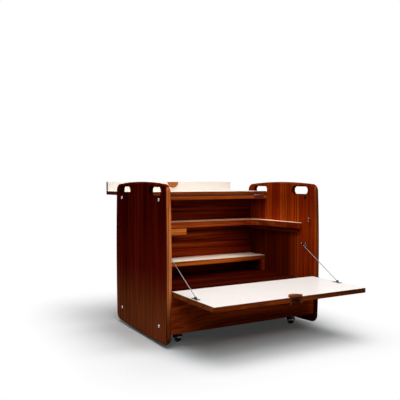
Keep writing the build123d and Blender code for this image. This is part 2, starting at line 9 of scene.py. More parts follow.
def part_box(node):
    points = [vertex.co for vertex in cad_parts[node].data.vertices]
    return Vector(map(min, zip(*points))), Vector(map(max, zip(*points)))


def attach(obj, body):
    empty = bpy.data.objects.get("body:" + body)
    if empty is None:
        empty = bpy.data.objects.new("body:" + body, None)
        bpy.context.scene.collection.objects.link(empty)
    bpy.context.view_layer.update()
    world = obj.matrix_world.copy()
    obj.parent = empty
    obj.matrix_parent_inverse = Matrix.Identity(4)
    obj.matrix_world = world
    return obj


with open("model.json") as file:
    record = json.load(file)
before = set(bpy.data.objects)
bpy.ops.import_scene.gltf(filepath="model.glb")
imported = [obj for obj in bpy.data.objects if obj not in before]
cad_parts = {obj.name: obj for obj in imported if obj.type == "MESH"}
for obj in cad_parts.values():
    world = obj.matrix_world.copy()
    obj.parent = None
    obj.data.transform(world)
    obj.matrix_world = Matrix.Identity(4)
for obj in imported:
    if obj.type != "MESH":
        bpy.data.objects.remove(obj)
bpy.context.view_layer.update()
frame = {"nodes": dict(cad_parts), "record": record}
nodes = frame["nodes"]
node_slot = {entry["node"]: entry["material_slot"] for entry in frame["record"]["subparts"]}
joint_place = {joint["name"]: joint.get("pos_m") for joint in frame["record"]["behaviour"]["joints"]}
X, Y, Z = range(3)
sides = (("left", -1), ("right", 1))


# Places on the part, in metres

def to_millimetre(value):
    """The nearest whole millimetre; the facets of a round edge fall a little short of it."""
    return round(value, 3)


panel_low, panel_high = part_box("side_panel_right")
panel_top = to_millimetre(panel_high[Z])
inner_skin = 0.008
outer_skin = 0.009
panel_core = (panel_low[X] + inner_skin, panel_high[X] - outer_skin)
barrel_middle = (panel_low[Z] + panel_top) / 2
barrel_half_height = 0.416
barrel_drop = 0.012
top_bow = 0.136

slot_aside = 0.207
slot_drop = 0.052
slot_level = panel_top - slot_drop
slot_half_run = 0.0485
slot_half_height = 0.023

bolts_low, bolts_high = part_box("panel_bolts_right")
bolt_radius = 0.009
bolt_aside = bolts_high[Y] - bolt_radius
bolt_middle = to_millimetre((bolts_low[Z] + bolts_high[Z]) / 2)
bolt_rise = to_millimetre(bolts_high[Z]) - bolt_radius - bolt_middle

back_low, back_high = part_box("back_panel")
flap_low, flap_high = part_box("flap_board")
flap_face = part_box("flap_laminate")[1][Z]
apron_low, apron_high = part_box("lid_apron")
lid_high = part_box("lid_board")[1]


# Tones of the woods: dark, middle and light

outer_tones = ((0.075, 0.0014, 0.0007), (0.14, 0.0042, 0.0017), (0.23, 0.015, 0.0045))
inner_tones = ((0.28, 0.0205, 0.0017), (0.37, 0.036, 0.0024), (0.48, 0.067, 0.005))
lipping_left = ((0.34, 0.065, 0.016), (0.56, 0.135, 0.034), (0.8, 0.24, 0.07))
# the right panel's lipping: darker than the left's as painted shade
lipping_right = ((0.12, 0.018, 0.004), (0.23, 0.043, 0.009), (0.4, 0.1, 0.026))
front_tones = ((0.42, 0.074, 0.009), (0.6, 0.126, 0.015), (0.78, 0.195, 0.026))
lid_tones = ((0.11, 0.017, 0.0032), (0.2, 0.038, 0.007), (0.31, 0.078, 0.0135))
# the plinth: the front's veneer, darker and redder as painted shade of the open flap
plinth_tones = ((0.36, 0.039, 0.0055), (0.53, 0.073, 0.01), (0.7, 0.115, 0.016))
inside_tones = ((0.085, 0.0048, 0.0012), (0.23, 0.023, 0.0028), (0.44, 0.09, 0.009))
# painted light: the back panel's inner face below the lower shelf
foot_tones = ((0.42, 0.04, 0.007), (0.72, 0.1, 0.012), (0.95, 0.22, 0.025))
# near black: painted shade on the case floor
case_floor_tones = ((0.015, 0.0006, 0.0003), (0.03, 0.0015, 0.0005), (0.06, 0.005, 0.001))
edge_tones = ((0.24, 0.024, 0.004), (0.42, 0.06, 0.008), (0.58, 0.12, 0.016))
shelf_tones = ((0.17, 0.02, 0.0022), (0.33, 0.05, 0.0046), (0.5, 0.105, 0.0095))
# dark: painted shade under the upper shelf's wings
cleat_tones = ((0.05, 0.0025, 0.0006), (0.11, 0.009, 0.0011), (0.2, 0.03, 0.003))
strip_tones = ((0.1, 0.0085, 0.0012), (0.22, 0.027, 0.0033), (0.36, 0.064, 0.009))
drawer_tones = ((0.5, 0.11, 0.016), (0.8, 0.21, 0.03), (0.98, 0.33, 0.055))
flap_pull_tones = ((0.05, 0.007, 0.002), (0.1, 0.018, 0.0045), (0.24, 0.066, 0.018))
lid_pull_tones = ((0.05, 0.007, 0.002), (0.1, 0.018, 0.0045), (0.46, 0.135, 0.028))


# Tones that paint floor bounce light and deep shade onto the wood, and tints that darken it: all but the
# last two as painted shade, those two as the edges' own darker wood

# painted light: floor bounce on the lower part of a panel's outside
painted_bounce_tone = (0.3, 0.017, 0.006)
# painted light: floor bounce near a panel's foot
painted_foot_bounce_tone = (0.62, 0.155, 0.045)
# painted shade deep in the case, below the upper shelf
painted_shade_tone = (0.05, 0.0025, 0.0008)
# painted shadow of the open flap on the lipping near the foot
painted_flap_shadow_tint = (0.22, 0.09, 0.06)
# painted shade near the front edge of a panel's inside
front_tint = (0.72, 0.6, 0.5)
# painted shade near the top of a panel's inside
top_tint = (0.67, 0.56, 0.5)
# painted shade along the panels' top edges
top_edge_tint = (0.3, 0.3, 0.4)
# painted shade on the lipping towards the top
lipping_tint = (0.75, 0.66, 0.55)
# painted shade in the back panel's right corner
corner_tint = (0.4, 0.2, 0.3)
# painted shade on the upper shelf's corners and wings
wing_tint = (0.55, 0.4, 0.4)
# painted shade on the lower shelf's right end
shelf_end_tint = (0.32, 0.24, 0.2)
free_edge_tint = (0.36, 0.27, 0.3)
board_end_tint = (0.7, 0.75, 0.9)


# Tones of the laminates: low and high

flap_white = ((0.84, 0.775, 0.74), (0.87, 0.81, 0.78))
lid_white = ((0.82, 0.745, 0.66), (0.86, 0.79, 0.71))
shelf_white = ((0.97, 0.8, 0.65), (0.98, 0.85, 0.72))
wing_white = ((0.98, 0.73, 0.54), (0.98, 0.78, 0.6))


# Shader helpers

def new_material(name):
    """An empty node material with its tree and its Principled shader."""
    material = bpy.data.materials.new(name)
    material.use_nodes = True
    return material, material.node_tree, material.node_tree.nodes["Principled BSDF"]


def put(tree, socket, value):
    """Links a socket to an input, or sets the input to a number or a colour."""
    if hasattr(value, "links"):
        tree.links.new(value, socket)
    elif isinstance(value, (int, float)):
        socket.default_value = value
    else:
        socket.default_value = (*value, 1) if len(socket.default_value) == 4 else value


def coordinates(tree):
    """A point's place on the part, in metres; it moves with the body."""
    return tree.nodes.new("ShaderNodeTexCoord").outputs["Object"]


def axes(tree, vector):
    """The three numbers of a vector."""
    node = tree.nodes.new("ShaderNodeSeparateXYZ")
    put(tree, node.inputs[0], vector)
    return node.outputs


def calc(tree, operation, *values):
    """A Math node over sockets and numbers."""
    node = tree.nodes.new("ShaderNodeMath")
    node.operation = operation
    for socket, value in zip(node.inputs, values):
        put(tree, socket, value)
    return node.outputs[0]


def away(tree, value, place):
    """How far a value lies from a place, on either side of it."""
    return calc(tree, "ABSOLUTE", calc(tree, "SUBTRACT", value, place))


def squared(tree, value):
    """A value times itself."""
    return calc(tree, "MULTIPLY", value, value)


def straight(tree, first, second):
    """The straight distance made by two distances at right angles."""
    return calc(tree, "SQRT", calc(tree, "ADD", squared(tree, first), squared(tree, second)))


def rise(tree, value, start, end, low=0.0, high=1.0):
    """A smooth step from low to high as value goes from start to end."""
    node = tree.nodes.new("ShaderNodeMapRange")
    node.interpolation_type = "SMOOTHSTEP"
    for name, number in (("From Min", start), ("From Max", end), ("To Min", low), ("To Max", high)):
        node.inputs[name].default_value = number
    put(tree, node.inputs["Value"], value)
    return node.outputs["Result"]


def ramp(tree, value, stops):
    """A colour ramp over a value; stops are (position, colour)."""
    node = tree.nodes.new("ShaderNodeValToRGB")
    elements = node.color_ramp.elements
    while len(elements) < len(stops):
        elements.new(0.5)
    for element, (position, colour) in zip(elements, stops):
        element.position = position
        element.color = (*colour, 1)
    put(tree, node.inputs["Fac"], value)
    return node.outputs["Color"]


def grey(value):
    """A colour without hue."""
    return (value, value, value)


def mix(tree, kind, factor, first, second):
    """A colour mix of two sockets or colours."""
    node = tree.nodes.new("ShaderNodeMix")
    node.data_type = "RGBA"
    node.blend_type = kind
    for socket, value in ((0, factor), (6, first), (7, second)):
        put(tree, node.inputs[socket], value)
    return node.outputs[2]


def noise(tree, vector, detail, roughness=0.55, distortion=0.0):
    """Fractal noise over coordinates that are already scaled."""
    node = tree.nodes.new("ShaderNodeTexNoise")
    node.inputs["Scale"].default_value = 1.0
    node.inputs["Detail"].default_value = detail
    node.inputs["Roughness"].default_value = roughness
    node.inputs["Distortion"].default_value = distortion
    put(tree, node.inputs["Vector"], vector)
    return node.outputs["Fac"]


def stretched(tree, vector, scale, offset=(0, 0, 0)):
    """Coordinates scaled per axis, so that a texture is drawn out along the grain."""
    node = tree.nodes.new("ShaderNodeMapping")
    node.inputs["Scale"].default_value = scale
    node.inputs["Location"].default_value = offset
    put(tree, node.inputs["Vector"], vector)
    return node.outputs["Vector"]


def bump(tree, shader, height, strength, distance):
    """Surface relief from a height."""
    node = tree.nodes.new("ShaderNodeBump")
    node.inputs["Strength"].default_value = strength
    node.inputs["Distance"].default_value = distance
    put(tree, node.inputs["Height"], height)
    put(tree, shader.inputs["Normal"], node.outputs["Normal"])


# Figure and finish of the woods

tone_stops = (0.36, 0.5, 0.64)
veneer_gloss = 0.004
oil_tint = (1.0, 0.55, 0.3)
arch_middle = 0.15
arch_bend = 0.06
arch_wander = 0.016


def wood_figure(tree, place, grain, offset, figure, fineness=11.0):
    """Bands, streaks and pores drawn out along the grain's axis, and the multiplier that they make.

    The offset keeps two woods from being alike, figure is the strength of the dark lines, and a greater
    fineness makes narrower bands.
    """
    def drawn(across, along):
        scale = [across] * 3
        scale[grain] = along
        return stretched(tree, place, scale, (offset, offset * 1.7, offset * 0.6))

    streak_fineness = 60.0 + 2.0 * fineness
    bands = noise(tree, drawn(fineness, 0.6), detail=4.0, distortion=0.5)
    streaks = noise(tree, drawn(streak_fineness, 1.1), detail=6.0, roughness=0.7, distortion=0.5)
    lines = noise(tree, drawn(190.0, 2.0), detail=3.0, roughness=0.6, distortion=0.2)
    pores = noise(tree, drawn(850.0, 16.0), detail=2.0, roughness=0.5)
    streaked = ramp(tree, streaks, [(0.38, grey(0.25)), (0.5, grey(0.85)), (0.62, grey(1.4))])
    dark_lines = ramp(tree, lines, [(0.36, grey(0.2)), (0.48, grey(1.0))])
    open_pores = ramp(tree, pores, [(0.33, grey(0.4)), (0.43, grey(1.0))])
    lined = mix(tree, "MULTIPLY", 0.3 + 0.5 * figure, streaked, dark_lines)
    figured = mix(tree, "MULTIPLY", 0.55, lined, open_pores)
    return bands, streaks, pores, figured


def toned(tree, bands, tones):
    """The wood's own colour: its three tones over the bands."""
    return ramp(tree, bands, list(zip(tone_stops, tones)))


def arched(tree, place):
    """Coordinates bowed along X, so that the figure runs in the long arches of flat-sawn veneer."""
    x, y, z = axes(tree, place)
    cloud = noise(tree, stretched(tree, place, (1.3, 2.6, 2.6)), detail=1.0)
    wander = calc(tree, "MULTIPLY", cloud, arch_wander)
    aside = calc(tree, "SUBTRACT", x, arch_middle)
    bow = calc(tree, "ADD", calc(tree, "MULTIPLY", squared(tree, aside), arch_bend), wander)
    node = tree.nodes.new("ShaderNodeCombineXYZ")
    for socket, value in zip(node.inputs, (x, calc(tree, "ADD", y, bow), calc(tree, "ADD", z, bow))):
        put(tree, socket, value)
    return node.outputs[0]


def oiled(tree, shader, colour, streaks, gloss):
    """Satin oil finish, whose gloss wanders with the streaks."""
    put(tree, shader.inputs["Base Color"], colour)
    put(tree, shader.inputs["Roughness"], rise(tree, streaks, 0.3, 0.7, 0.52, 0.36))
    put(tree, shader.inputs["Specular IOR Level"], gloss)
    put(tree, shader.inputs["Specular Tint"], oil_tint)


def finish_wood(tree, shader, colour, streaks, pores, gloss=veneer_gloss):
    """Oil finish over open pores."""
    oiled(tree, shader, colour, streaks, gloss)
    bump(tree, shader, pores, strength=0.12, distance=0.0004)


def rosewood(name, grain, tones, offset, figure):
    """Rosewood veneer over a whole piece."""
    material, tree, shader = new_material(name)
    place = coordinates(tree)
    bands, streaks, pores, figured = wood_figure(tree, place, grain, offset, figure)
    colour = mix(tree, "MULTIPLY", 0.55 + 0.4 * figure, toned(tree, bands, tones), figured)
    finish_wood(tree, shader, colour, streaks, pores)
    return material


# Side panels

def bolt_offsets(tree, y, z):
    """How far a point of a panel lies from its nearest bolt, along Y and along Z."""
    aside = away(tree, calc(tree, "ABSOLUTE", y), bolt_aside)
    above = away(tree, away(tree, z, bolt_middle), bolt_rise)
    return aside, above


def slot_offset(tree, y, z):
    """How far a point of a panel lies from the middle line of its nearest hand slot."""
    past_run = calc(tree, "SUBTRACT", away(tree, calc(tree, "ABSOLUTE", y), slot_aside), slot_half_run)
    above = calc(tree, "SUBTRACT", z, slot_level)
    return straight(tree, calc(tree, "MAXIMUM", past_run, 0.0), above)


def barrel_offset(tree, y, z):
    """How far a point lies outside the panel's barrel-shaped front or rear edge; negative inside it."""
    height = calc(tree, "MULTIPLY", calc(tree, "SUBTRACT", z, barrel_middle), 1 / barrel_half_height)
    bulge = calc(tree, "MULTIPLY", squared(tree, height), -barrel_drop)
    return calc(tree, "SUBTRACT", calc(tree, "ABSOLUTE", y), calc(tree, "ADD", bulge, panel_high[Y]))


def panel_inside(tree, bands, y, z):
    """Redder veneer with painted shade: darker near the front and the top, and darkest deep in the case
    below the shelf.
    """
    near_front = rise(tree, y, -0.22, -0.33)
    near_top = rise(tree, z, 0.64, 0.78)
    below_shelf = rise(tree, z, 0.6, 0.53, 0.0, 0.88)
    deep_inside = rise(tree, y, -0.25, -0.06)
    fronted = mix(tree, "MULTIPLY", near_front, toned(tree, bands, inner_tones), front_tint)
    topped = mix(tree, "MULTIPLY", near_top, fronted, top_tint)
    shade_mask = calc(tree, "MULTIPLY", below_shelf, deep_inside)
    return mix(tree, "MIX", shade_mask, topped, painted_shade_tone)


def panel_outside(tree, bands, z):
    """Dark veneer, lighter and redder lower down and towards the foot, as painted floor bounce light."""
    lower_down = rise(tree, z, 0.8, 0.4, 0.0, 0.55)
    near_foot = rise(tree, z, 0.42, 0.06, 0.0, 0.66)
    lightened = mix(tree, "MIX", lower_down, toned(tree, bands, outer_tones), painted_bounce_tone)
    return mix(tree, "MIX", near_foot, lightened, painted_foot_bounce_tone)


def panel_lipping(tree, bands, z, tones):
    """The edge's own wood, with painted shade towards the top and the flap's painted shadow near the
    foot.
    """
    near_top = rise(tree, z, 0.5, 0.75)
    near_foot = rise(tree, z, 0.34, 0.12, 0.0, 0.85)
    darkened = mix(tree, "MULTIPLY", near_top, toned(tree, bands, tones), lipping_tint)
    return mix(tree, "MULTIPLY", near_foot, darkened, painted_flap_shadow_tint)


def panel_wood(name, offset, lipping_tones):
    """A side panel: dark veneer outside, redder veneer inside, and a lipping at its front and rear."""
    material, tree, shader = new_material(name)
    place = coordinates(tree)
    x, y, z = axes(tree, place)
    across = calc(tree, "ABSOLUTE", x)
    bands, streaks, pores, figured = wood_figure(tree, place, Z, offset, figure=0.6, fineness=27.0)

    outward = rise(tree, across, *panel_core)
    veneer = mix(tree, "MIX", outward, panel_inside(tree, bands, y, z), panel_outside(tree, bands, z))

    # painted shade in a ring round each bolt cap
    bolt_distance = straight(tree, *bolt_offsets(tree, y, z))
    near_bolt = rise(tree, bolt_distance, bolt_radius + 0.005, bolt_radius + 0.001)
    bolt_shaded = mix(tree, "MULTIPLY", near_bolt, veneer, grey(0.35))

    # painted shade on the hand slots' walls and round their edges
    slot_wall = rise(tree, slot_offset(tree, y, z), slot_half_height + 0.008, slot_half_height + 0.0015)
    slot_shaded = mix(tree, "MULTIPLY", slot_wall, bolt_shaded, grey(0.22))

    rim = rise(tree, barrel_offset(tree, y, z), -0.013, -0.007)
    lipped = mix(tree, "MIX", rim, slot_shaded, panel_lipping(tree, bands, z, lipping_tones))

    # painted shade along the panel's arched top edge
    level = calc(tree, "ADD", z, calc(tree, "MULTIPLY", squared(tree, y), top_bow))
    top_edge = rise(tree, level, panel_top - 0.005, panel_top - 0.0015)
    body = mix(tree, "MULTIPLY", top_edge, lipped, top_edge_tint)

    figure_strength = rise(tree, across, *panel_core, 0.8, 0.85)
    colour = mix(tree, "MULTIPLY", figure_strength, body, figured)
    finish_wood(tree, shader, colour, streaks, pores, gloss=0.0)
    return material


# Boards, shelves and the back panel

lip_start = 0.003
lip_end = 0.001


def free_edge_wood(tree, parts, body, axis, edge, side):
    """Darker wood along a board's free edge, and painted shade that darkens it further towards the right.
    """
    outward = calc(tree, "MULTIPLY", parts[axis], side)
    lip = rise(tree, outward, edge * side - lip_start, edge * side - lip_end)
    rightward = calc(tree, "MULTIPLY", lip, rise(tree, parts[X], -0.03, 0.22, 0.0, 0.85))
    edged = mix(tree, "MULTIPLY", lip, body, free_edge_tint)
    return mix(tree, "MULTIPLY", rightward, edged, grey(0.35))


def board_end_wood(tree, parts, body, half_width):
    """A slightly darker lipping on both ends of a board."""
    aside = calc(tree, "ABSOLUTE", parts[X])
    lip = rise(tree, aside, half_width - lip_start, half_width - lip_end)
    return mix(tree, "MULTIPLY", lip, body, board_end_tint)


def board_wood(name, tones, offset, half_width=None, free_edge=None):
    """A board in arched veneer, with lipped ends and a dark free edge where these are given."""
    material, tree, shader = new_material(name)
    place = coordinates(tree)
    parts = axes(tree, place)
    bowed = arched(tree, place)
    bands, streaks, pores, figured = wood_figure(tree, bowed, X, offset, figure=0.4, fineness=18.0)
    body = toned(tree, bands, tones)
    if free_edge:
        body = free_edge_wood(tree, parts, body, *free_edge)
    if half_width:
        body = board_end_wood(tree, parts, body, half_width)
    colour = mix(tree, "MULTIPLY", 0.7, body, figured)
    finish_wood(tree, shader, colour, streaks, pores)
    return material


def shelf_wood(name, tones, offset, darkened, both_ends=False):
    """A shelf darkened (start, end, tint) towards the right, or towards both ends, as painted shade."""
    start, end, tint = darkened
    material, tree, shader = new_material(name)
    place = coordinates(tree)
    bands, streaks, pores, figured = wood_figure(tree, place, X, offset, figure=0.5)
    x = axes(tree, place)[X]
    aside = calc(tree, "ABSOLUTE", x) if both_ends else x
    shaded = mix(tree, "MULTIPLY", rise(tree, aside, start, end), toned(tree, bands, tones), tint)
    colour = mix(tree, "MULTIPLY", 0.75, shaded, figured)
    finish_wood(tree, shader, colour, streaks, pores)
    return material


def back_wood(name, offset):
    """The back panel; its inner face is paler below the lower shelf, as painted light, and darker towards
    the right, as painted shade.
    """
    material, tree, shader = new_material(name)
    place = coordinates(tree)
    x, y, z = axes(tree, place)
    bands, streaks, pores, figured = wood_figure(tree, place, X, offset, figure=0.8, fineness=24.0)
    inner_face = rise(tree, y, back_high[Y] - 0.007, back_low[Y] + 0.008)
    below_shelf = calc(tree, "MULTIPLY", rise(tree, z, 0.37, 0.33), inner_face)
    rightward = calc(tree, "MULTIPLY", rise(tree, x, 0.06, 0.45), inner_face)
    upper = toned(tree, bands, inside_tones)
    body = mix(tree, "MIX", below_shelf, upper, toned(tree, bands, foot_tones))
    shaded = mix(tree, "MULTIPLY", rightward, body, corner_tint)
    colour = mix(tree, "MULTIPLY", 0.8, shaded, figured)
    finish_wood(tree, shader, colour, streaks, pores)
    return material


# Turned pull

half_joint = 0.0015
ring_density = 2600.0


def turned_wood(name, tones, face, cut):
    """Half of the turned pull: lathe rings, a hollow darkened as painted shade, a lighter back, and a rim
    lightened as a painted highlight except where sawn.

    Face and cut are (axis, place, side). The back comes out on that side of the board's face, and the
    wood lies on that side of the cut.
    """
    face_axis, face_place, face_side = face
    cut_axis, cut_place, cut_side = cut
    material, tree, shader = new_material(name)
    place = coordinates(tree)
    parts = axes(tree, place)
    bands, streaks, _, figured = wood_figure(tree, place, X, offset=4.2, figure=0.4)
    colour = mix(tree, "MULTIPLY", 0.6, toned(tree, bands, tones), figured)

    radius = straight(tree, parts[X], away(tree, parts[cut_axis], cut_place - cut_side * half_joint))
    # painted shade in the hollow
    in_hollow = rise(tree, radius, 0.028, 0.022)
    hollow = mix(tree, "MULTIPLY", in_hollow, colour, grey(0.45))

    inward, at_cut = (cut_place + cut_side * depth for depth in (0.0015, 0.0002))
    unsawn = rise(tree, parts[cut_axis], inward, at_cut, 1.0, 0.15)
    # painted highlight on the rim
    rim = calc(tree, "MULTIPLY", rise(tree, radius, 0.026, 0.034, 0.0, 0.3), unsawn)
    back = rise(tree, parts[face_axis], face_place - face_side * 0.002, face_place, 0.0, 0.85)
    lightened = mix(tree, "MIX", calc(tree, "MAXIMUM", rim, back), hollow, tones[2])

    oiled(tree, shader, lightened, streaks, gloss=0.03)
    rings = calc(tree, "SINE", calc(tree, "MULTIPLY", radius, ring_density))
    bump(tree, shader, rings, strength=0.1, distance=0.0002)
    return material


# Laminate, metal and polymer

socket_wall = (0.0052, 0.0058)


def laminate(name, tones, gloss=0.12, rough=0.42, shaded_span=None):
    """Warm white laminate with a faint mottle and a fine texture; an (axis, start, end, tint) of painted
    shade darkens one stretch.
    """
    material, tree, shader = new_material(name)
    place = coordinates(tree)
    low, high = tones
    cloud = noise(tree, stretched(tree, place, (3, 3, 3)), detail=4.0)
    grain = noise(tree, stretched(tree, place, (900, 900, 900)), detail=2.0)
    colour = ramp(tree, cloud, [(0.3, low), (0.7, high)])
    if shaded_span:
        axis, start, end, tint = shaded_span
        colour = mix(tree, "MULTIPLY", rise(tree, axes(tree, place)[axis], start, end), colour, tint)
    put(tree, shader.inputs["Base Color"], colour)
    put(tree, shader.inputs["Roughness"], rise(tree, cloud, 0.3, 0.7, rough, rough - 0.08))
    put(tree, shader.inputs["Specular IOR Level"], gloss)
    bump(tree, shader, grain, strength=0.06, distance=0.0002)
    return material


def plating(name, tones, roughness):
    """Polished plating with faint smears and dulled spots; tones and roughness are (low, high)."""
    material, tree, shader = new_material(name)
    place = coordinates(tree)
    low, high = tones
    smooth, rough = roughness
    smears = noise(tree, stretched(tree, place, (60, 60, 60)), detail=4.0)
    spots = noise(tree, stretched(tree, place, (420, 420, 420)), detail=3.0)
    smeared = ramp(tree, smears, [(0.3, grey(low)), (0.7, grey(high))])
    spotted = ramp(tree, spots, [(0.28, grey(0.45)), (0.4, grey(1.0))])
    put(tree, shader.inputs["Base Color"], mix(tree, "MULTIPLY", 0.5, smeared, spotted))
    put(tree, shader.inputs["Roughness"], rise(tree, smears, 0.3, 0.7, rough, smooth))
    put(tree, shader.inputs["Metallic"], 1.0)
    return material, tree, shader


def metal(name, tones, roughness):
    """Plating with fine scratches."""
    material, tree, shader = plating(name, tones, roughness)
    scratches = noise(tree, stretched(tree, coordinates(tree), (1500, 120, 1500)), detail=2.0)
    bump(tree, shader, scratches, strength=0.03, distance=0.0001)
    return material


def bolt_metal(name):
    """Domed bolt caps with a six-sided socket in the crown of each, painted near black as its shade."""
    material, tree, shader = plating(name, (0.6, 0.78), (0.08, 0.2))
    parts = axes(tree, coordinates(tree))
    aside, above = bolt_offsets(tree, parts[Y], parts[Z])
    upward = calc(tree, "MULTIPLY", above, math.cos(math.pi / 6))
    sideways = calc(tree, "MULTIPLY", aside, math.sin(math.pi / 6))
    hexagon = calc(tree, "MAXIMUM", aside, calc(tree, "ADD", upward, sideways))
    socket = rise(tree, hexagon, *socket_wall, 1.0, 0.0)
    plain = shader.inputs["Base Color"].links[0].from_socket
    # painted shade: the socket near black
    put(tree, shader.inputs["Base Color"], mix(tree, "MIX", socket, plain, grey(0.02)))
    bump(tree, shader, calc(tree, "MULTIPLY", socket, -1.0), strength=0.6, distance=0.002)
    return material


def black_polymer(name, tone, roughness):
    """Black moulded plastic or rubber with dust in its texture."""
    material, tree, shader = new_material(name)
    place = coordinates(tree)
    dust = noise(tree, stretched(tree, place, (90, 90, 90)), detail=5.0, roughness=0.6)
    grain = noise(tree, stretched(tree, place, (1400, 1400, 1400)), detail=2.0)
    dusty = ramp(tree, dust, [(0.4, grey(tone)), (0.75, grey(tone * 2.6))])
    put(tree, shader.inputs["Base Color"], dusty)
    put(tree, shader.inputs["Roughness"], rise(tree, dust, 0.35, 0.75, roughness, roughness + 0.2))
    put(tree, shader.inputs["Specular IOR Level"], 0.35)
    bump(tree, shader, grain, strength=0.1, distance=0.0002)
    return material


# Materials of the slots, of single nodes and of nodes that come in pairs

# Painted shade on the upper shelf's wings and the lower shelf's right end, in wood and laminate
wing_darkened = (0.27, 0.38, wing_tint)
wing_laminate_shade = (Y, 0.1, 0.17, (0.85, 0.6, 0.5))
shelf_darkened = (0.12, 0.46, shelf_end_tint)
shelf_laminate_shade = (X, 0.2, 0.45, (0.42, 0.36, 0.33))
flap_edge = (Y, flap_low[Y], -1)
flap_cut = (Y, flap_low[Y], 1)
flap_back = (Z, flap_face, 1)
apron_edge = (Z, apron_high[Z], 1)
apron_cut = (Z, apron_high[Z], -1)
apron_back = (Y, apron_low[Y], -1)

cleat_wood = rosewood("rosewood_cleat", Y, cleat_tones, offset=5.9, figure=0.5)
lid_laminate = laminate("lid_laminate", lid_white)
bracket_metal = metal("bracket_plating", (0.05, 0.12), (0.22, 0.4))
eye_metal = metal("eye_plating", (0.2, 0.34), (0.12, 0.26))
hood_metal = metal("hood_plating", (0.1, 0.16), (0.06, 0.16))

slot_material = {
    "rosewood_inside": rosewood("rosewood_inside", X, inside_tones, offset=1.3, figure=0.7),
    "laminate": laminate("white_laminate", flap_white),
    "chrome": metal("polished_chrome", (0.74, 0.88), (0.1, 0.22)),
    "rest_rubber": black_polymer("rest_rubber", 0.008, 0.65),
    "wheel_black": black_polymer("wheel_black", 0.005, 0.3),
}
node_material = {
    "side_panel_left": panel_wood("rosewood_panel_left", 3.1, lipping_left),
    "side_panel_right": panel_wood("rosewood_panel_right", 8.3, lipping_right),
    "upper_shelf": shelf_wood("rosewood_edge", edge_tones, 2.6, wing_darkened, both_ends=True),
    "upper_shelf_laminate": laminate("wing_laminate", wing_white, gloss=0.0, rough=0.3, shaded_span=wing_laminate_shade),
    "lower_shelf": shelf_wood("rosewood_shelf", shelf_tones, 4.4, shelf_darkened),
    "lower_shelf_laminate": laminate("shelf_laminate", shelf_white, gloss=0.01, shaded_span=shelf_laminate_shade),
    "drawer_front": rosewood("rosewood_drawer", X, drawer_tones, offset=0.9, figure=0.4),
    "drawer_runners": cleat_wood,
    "back_panel": back_wood("rosewood_back", 1.3),
    "case_floor": rosewood("rosewood_floor", X, case_floor_tones, offset=6.6, figure=0.7),
    "lower_front_panel": board_wood("rosewood_plinth", plinth_tones, 7.4),
    "rear_top_strip": rosewood("rosewood_strip", X, strip_tones, offset=3.7, figure=0.5),
    "flap_board": board_wood("rosewood_flap", front_tones, 7.4, flap_high[X], flap_edge),
    "flap_pull_half": turned_wood("turned_pull_flap", flap_pull_tones, flap_back, flap_cut),
    "lid_board": board_wood("rosewood_lid", lid_tones, 9.8, lid_high[X]),
    "lid_apron": board_wood("rosewood_apron", front_tones, 9.1, apron_high[X], apron_edge),
    "lid_pull_half": turned_wood("turned_pull_lid", lid_pull_tones, apron_back, apron_cut),
    "lid_laminate": lid_laminate,
    "apron_laminate": lid_laminate,
}
paired_material = {
    "panel_bolts": bolt_metal("bolt_plating"),
    "shelf_cleat": cleat_wood,
    "flap_hinge_fixed": bracket_metal,
    "flap_hinge_moving": bracket_metal,
    "stay_flap_bracket": bracket_metal,
    "stay_bracket": eye_metal,
    "stay_eye": eye_metal,
    "stay_rod": metal("rod_plating", (0.15, 0.25), (0.16, 0.3)),
    "caster_hood_front": hood_metal,
    "caster_hood_rear": hood_metal,
}
for side_name, _ in sides:
    for node, material in paired_material.items():
        node_material[f"{node}_{side_name}"] = material
for node, piece in nodes.items():
    piece.data.materials.clear()
    piece.data.materials.append(node_material.get(node) or slot_material[node_slot[node]])


# Radius and height of each kind of small fastener

plate_screw = (0.0032, 0.0008)
stop_screw = (0.0042, 0.0012)
lid_hinge_screw = (0.003, 0.0002)
flap_hinge_screw = (0.003, 0.0004)
back_screw = (0.0042, 0.001)
caster_screw = (0.003, 0.0008)
axle_rivet = (0.0052, 0.0018)


# Where the fasteners stand on the plates, leaves, stops and panels

stay_plate_thickness = 0.003
stay_screw_pitch = 0.0118
flap_plate_thickness = 0.0025
flap_screw_pitch = 0.022
stop_screw_shares = (0.22, 0.78)
hinge_screw_pitch = 0.028
hinge_leaf_offset = 0.00025
lid_screw_inset = 0.0095
flap_screw_inset = 0.0085
back_screw_inset = 0.013
back_screw_rise = 0.048
back_screw_pitch = 0.15
back_screw_count = 5
caster_plate_thickness = 0.003
caster_screw_pitch = 0.017
axle_half_length = 0.0185


# Small fasteners; profiles are shares of radius and height

screw_profile = ((1.0, 0.0), (1.0, 0.45), (0.86, 0.85), (0.62, 1.0))
rivet_profile = ((1.0, 0.0), (1.0, 0.25), (0.82, 0.3), (0.76, 0.55), (0.55, 0.85), (0.3, 0.97))
half_steps = 10
disc_steps = 24
rivet_steps = 20


def place_mesh(name, bm, place, normal, body, slot):
    """Stands a small mesh, built round +Z at the origin, on a point of the part; it rides a body."""
    mesh = bpy.data.meshes.new(name)
    bm.to_mesh(mesh)
    bm.free()
    turn = Vector((0, 0, 1)).rotation_difference(Vector(normal)).to_matrix().to_4x4()
    mesh.transform(Matrix.Translation(place) @ turn)
    piece = bpy.data.objects.new(name, mesh)
    piece.data.materials.append(slot_material[slot])
    bpy.context.scene.collection.objects.link(piece)
    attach(piece, body)


def circle(bm, radius, level, steps):
    """Vertices evenly round a level circle."""
    angles = [2 * math.pi * i / steps for i in range(steps)]
    return [bm.verts.new((radius * math.cos(a), radius * math.sin(a), level)) for a in angles]


